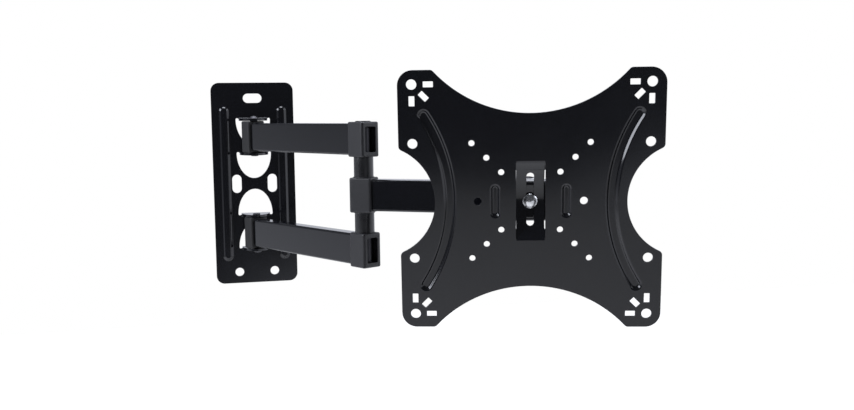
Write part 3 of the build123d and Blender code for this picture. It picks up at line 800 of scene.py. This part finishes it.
class MOUNT_OT_tilt_bolt(bpy.types.Operator):
    """Make the tilt bolt with its domed head and square neck, and its nut"""

    bl_idname = "mount.tilt_bolt"
    bl_label = "Tilt bolt"

    def execute(self, context):
        rim = context.scene.mount_sizes.metal_round
        place = joint_place("screen_tilt")
        across = Vector(JOINTS["screen_tilt"]["axis"])
        facing = across.cross(UP)
        axis = math.cos(BRACKET_LEAN) * facing - math.sin(BRACKET_LEAN) * UP
        corner = across + axis.cross(across)
        # The corner is where the square's sides meet, 45 degrees from the middle of a side
        neck = polygon_radius(4, TILT_NECK)[None, :]
        level = np.ones((1, ROUND_STEPS))
        brim = 0.5 * MM
        rise = TILT_HEAD_RISE - brim
        runout = 0.3 * MM
        thread_top = -TILT_NECK_END - runout
        nut_end = TILT_NUT_SEAT + TILT_NUT_HEIGHT
        head = stack(
            round_rows(dome_profile(TILT_HEAD_RADIUS, rise, brim - TILT_HEAD_BASE)),
            round_rows([(TILT_HEAD_RADIUS, -TILT_HEAD_BASE)]),
            (neck, -TILT_HEAD_BASE * level),
            (neck, -TILT_NECK_END * level),
        )
        radius, height = stack(
            head,
            round_rows([(TILT_BOLT_RADIUS, -TILT_NECK_END)]),
            thread_rows(TILT_BOLT_RADIUS, M6_PITCH, thread_top, SCREW_POINT - TILT_BOLT_END),
            round_rows([(TILT_BOLT_RADIUS - SCREW_POINT, -TILT_BOLT_END), (0, -TILT_BOLT_END)]),
        )
        hard_rows = len(head[0]) + 1
        mesh = turned_mesh(
            "tilt_bolt_domed", place, axis, corner, radius, height, hard_rows, rim
        )
        place_piece("tilt_bolt_domed", mesh, rim, "zinc_plated_steel", "tilt_bolt")
        make_nut(
            "tilt_nut_turned", "tilt_nut", "zinc_plated_steel", (place, -axis, across),
            TILT_NUT_FLATS, TILT_BORE_RADIUS, TILT_NUT_SEAT, nut_end, rim,
        )
        return {"FINISHED"}


class MOUNT_OT_stage(bpy.types.Operator):
    """Make the floor, the surroundings, the lamps and the camera"""

    bl_idname = "mount.stage"
    bl_label = "Stage"

    def execute(self, context):
        make_world(context.scene)
        make_floor(context.scene)
        make_lamps(context.scene)
        make_camera(context.scene)
        context.scene.view_settings.view_transform = "Standard"
        return {"FINISHED"}


def add_light_path(tree):
    """Add a light path, and return it with the share of rays that come straight to the camera.

    A ray that has only passed through something clear counts as straight.
    """
    path = add_node(tree, "ShaderNodeLightPath")
    straight = add_node(
        tree, "ShaderNodeMath", settings={"operation": "MAXIMUM"},
        links={0: path.outputs["Is Camera Ray"], 1: path.outputs["Is Transmission Ray"]},
    )
    return path, straight.outputs["Value"]


def make_world(scene):
    """Surround the mount with a pale sweep that is dark in front, where the camera stands.

    The light from a direction depends on three smooth steps, each along a slanted line. The
    sweep grows brighter downwards and to the right. The dark window is where the direction
    points to the front and over a slanted horizon. The camera itself sees plain white.
    """
    world = bpy.data.worlds.new("Studio")
    scene.world = world
    world.use_nodes = True
    tree = world.node_tree
    tree.nodes.clear()
    direction = add_node(tree, "ShaderNodeTexCoord").outputs["Generated"]
    steps = {}
    for name, line, start, end in (
        ("sweep", SWEEP_LINE, -0.85, 0.1),
        ("front", FRONT_LINE, 0.05, 0.45),
        ("above", HORIZON_LINE, -0.25, -0.16),
    ):
        share = add_node(
            tree, "ShaderNodeVectorMath", settings={"operation": "DOT_PRODUCT"},
            inputs={1: line}, links={0: direction},
        )
        steps[name] = add_node(
            tree, "ShaderNodeMapRange", settings={"interpolation_type": "SMOOTHSTEP"},
            inputs={"From Min": start, "From Max": end}, links={"Value": share.outputs["Value"]},
        ).outputs["Result"]
    sweep = add_node(
        tree, "ShaderNodeMapRange", inputs={"To Min": 0.3, "To Max": 1.15},
        links={"Value": steps["sweep"]},
    )
    window = add_node(
        tree, "ShaderNodeMath", settings={"operation": "MULTIPLY"},
        links={0: steps["front"], 1: steps["above"]},
    )
    strength = add_node(
        tree, "ShaderNodeMix", inputs={"B": 0.1},
        links={"Factor": window.outputs["Value"], "A": sweep.outputs["Result"]},
    )
    light = add_node(
        tree, "ShaderNodeBackground", inputs={"Color": (*STUDIO_LIGHT, 1)},
        links={"Strength": strength.outputs["Result"]},
    )
    white = add_node(
        tree, "ShaderNodeBackground", inputs={"Color": (1, 1, 1, 1), "Strength": 1.0},
    )
    _, straight = add_light_path(tree)
    seen = add_node(
        tree, "ShaderNodeMixShader",
        links={0: straight, 1: light.outputs["Background"], 2: white.outputs["Background"]},
    )
    add_node(tree, "ShaderNodeOutputWorld", links={"Surface": seen.outputs["Shader"]})


def make_floor(scene):
    """Lay a pale floor well below the mount, as far down as a low mount's floor would be.

    Its glow lifts it to white for the camera, and is weaker in mirrors.
    """
    half, depth = 3.4, -0.9
    mesh = bpy.data.meshes.new("floor")
    corners = [(x * half, y * half, depth) for x, y in ((-1, -1), (1, -1), (1, 1), (-1, 1))]
    mesh.from_pydata(corners, [], [(0, 1, 2, 3)])
    floor = bpy.data.objects.new("floor", mesh)
    scene.collection.objects.link(floor)
    material = bpy.data.materials.new("floor_matt_paper")
    material.use_nodes = True
    tree = material.node_tree
    tree.nodes.clear()
    paper = add_node(tree, "ShaderNodeBsdfDiffuse", inputs={"Color": (*linear("#e6e6e6"), 1)})
    path, straight = add_light_path(tree)
    mirrored = add_node(
        tree, "ShaderNodeMath", settings={"operation": "MULTIPLY"},
        inputs={1: MIRRORED_GLOW}, links={0: path.outputs["Is Glossy Ray"]},
    )
    strength = add_node(
        tree, "ShaderNodeMath", settings={"operation": "MULTIPLY_ADD"},
        inputs={1: CAMERA_GLOW}, links={0: straight, 2: mirrored.outputs["Value"]},
    )
    glow = add_node(
        tree, "ShaderNodeEmission", inputs={"Color": (1, 1, 1, 1)},
        links={"Strength": strength.outputs["Value"]},
    )
    both = add_node(
        tree, "ShaderNodeAddShader",
        links={0: paper.outputs["BSDF"], 1: glow.outputs["Emission"]},
    )
    add_node(tree, "ShaderNodeOutputMaterial", links={"Surface": both.outputs["Shader"]})
    mesh.materials.append(material)


def make_lamps(scene):
    """Hang soft boxes at both sides and overhead, out of the plates' mirror directions."""
    aim = Vector((0.12, -0.2, 0))
    for name, place, size, power in (
        ("left_softbox", (-2.1, -0.7, 1.0), 1.3, 50),
        ("right_softbox", (2.1, -0.7, 1.0), 1.1, 14),
        ("top_softbox", (0.1, 0.3, 2.0), 1.4, 55),
    ):
        lamp = bpy.data.lights.new(name, "AREA")
        lamp.shape = "SQUARE"
        lamp.size = size
        lamp.energy = power
        lamp.color = STUDIO_LIGHT
        holder = bpy.data.objects.new(name, lamp)
        holder.location = place
        holder.rotation_mode = "QUATERNION"
        holder.rotation_quaternion = (aim - Vector(place)).to_track_quat("-Z", "Y")
        scene.collection.objects.link(holder)


def make_camera(scene):
    """Stand the camera where the photograph was taken from.

    It looks along +Y, turned by the yaw about +Z, down by the pitch and round by the roll.
    """
    focal_pixels = 945.994
    yaw, pitch, roll = (math.radians(a) for a in (-12.968, 5.679, 0.732))
    place = Vector((-49.538, -1076.182, 78.329)) * MM
    right = Vector((math.cos(yaw), math.sin(yaw), 0))
    ahead = math.cos(pitch) * UP.cross(right) - math.sin(pitch) * UP
    down = ahead.cross(right)
    turned_right = math.cos(roll) * right + math.sin(roll) * down
    turned_down = math.cos(roll) * down - math.sin(roll) * right
    camera = bpy.data.cameras.new("camera")
    camera.sensor_width = SENSOR_WIDTH
    camera.lens = focal_pixels * SENSOR_WIDTH / PHOTO_WIDTH
    camera.clip_start, camera.clip_end = 0.01, 50
    holder = bpy.data.objects.new("camera", camera)
    turn = Matrix((turned_right, -turned_down, -ahead)).transposed()
    holder.matrix_world = Matrix.Translation(place) @ turn.to_4x4()
    scene.collection.objects.link(holder)
    scene.camera = holder


class MOUNT_PT_panel(bpy.types.Panel):
    """Lists the steps that finish the wall mount"""

    bl_idname = "MOUNT_PT_panel"
    bl_label = "Wall mount"
    bl_space_type = "VIEW_3D"
    bl_region_type = "UI"
    bl_category = "Wall Mount"

    def draw(self, context):
        for group in (context.scene.mount_sizes, context.scene.mount_finishes):
            for name in group.bl_rna.properties.keys():
                if name not in {"rna_type", "name"}:
                    self.layout.prop(group, name)
        for step in STEPS:
            self.layout.operator(step.bl_idname)


STEPS = (
    MOUNT_OT_stage,
    MOUNT_OT_sheet_steel,
    MOUNT_OT_arm_tubes,
    MOUNT_OT_mouldings,
    MOUNT_OT_washers,
    MOUNT_OT_elbow_bolt,
    MOUNT_OT_wall_pins,
    MOUNT_OT_swivel_pin,
    MOUNT_OT_tilt_bolt,
)
CLASSES = (MountSizes, MountFinishes, *STEPS, MOUNT_PT_panel)


def register():
    for cls in CLASSES:
        bpy.utils.register_class(cls)
    bpy.types.Scene.mount_sizes = PointerProperty(type=MountSizes)
    bpy.types.Scene.mount_finishes = PointerProperty(type=MountFinishes)


def unregister():
    del bpy.types.Scene.mount_finishes
    del bpy.types.Scene.mount_sizes
    for cls in reversed(CLASSES):
        bpy.utils.unregister_class(cls)


def main():
    """Run every step in order."""
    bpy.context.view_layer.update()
    register()
    for step in STEPS:
        family, name = step.bl_idname.split(".")
        getattr(getattr(bpy.ops, family), name)()


if __name__ == "__main__":
    main()
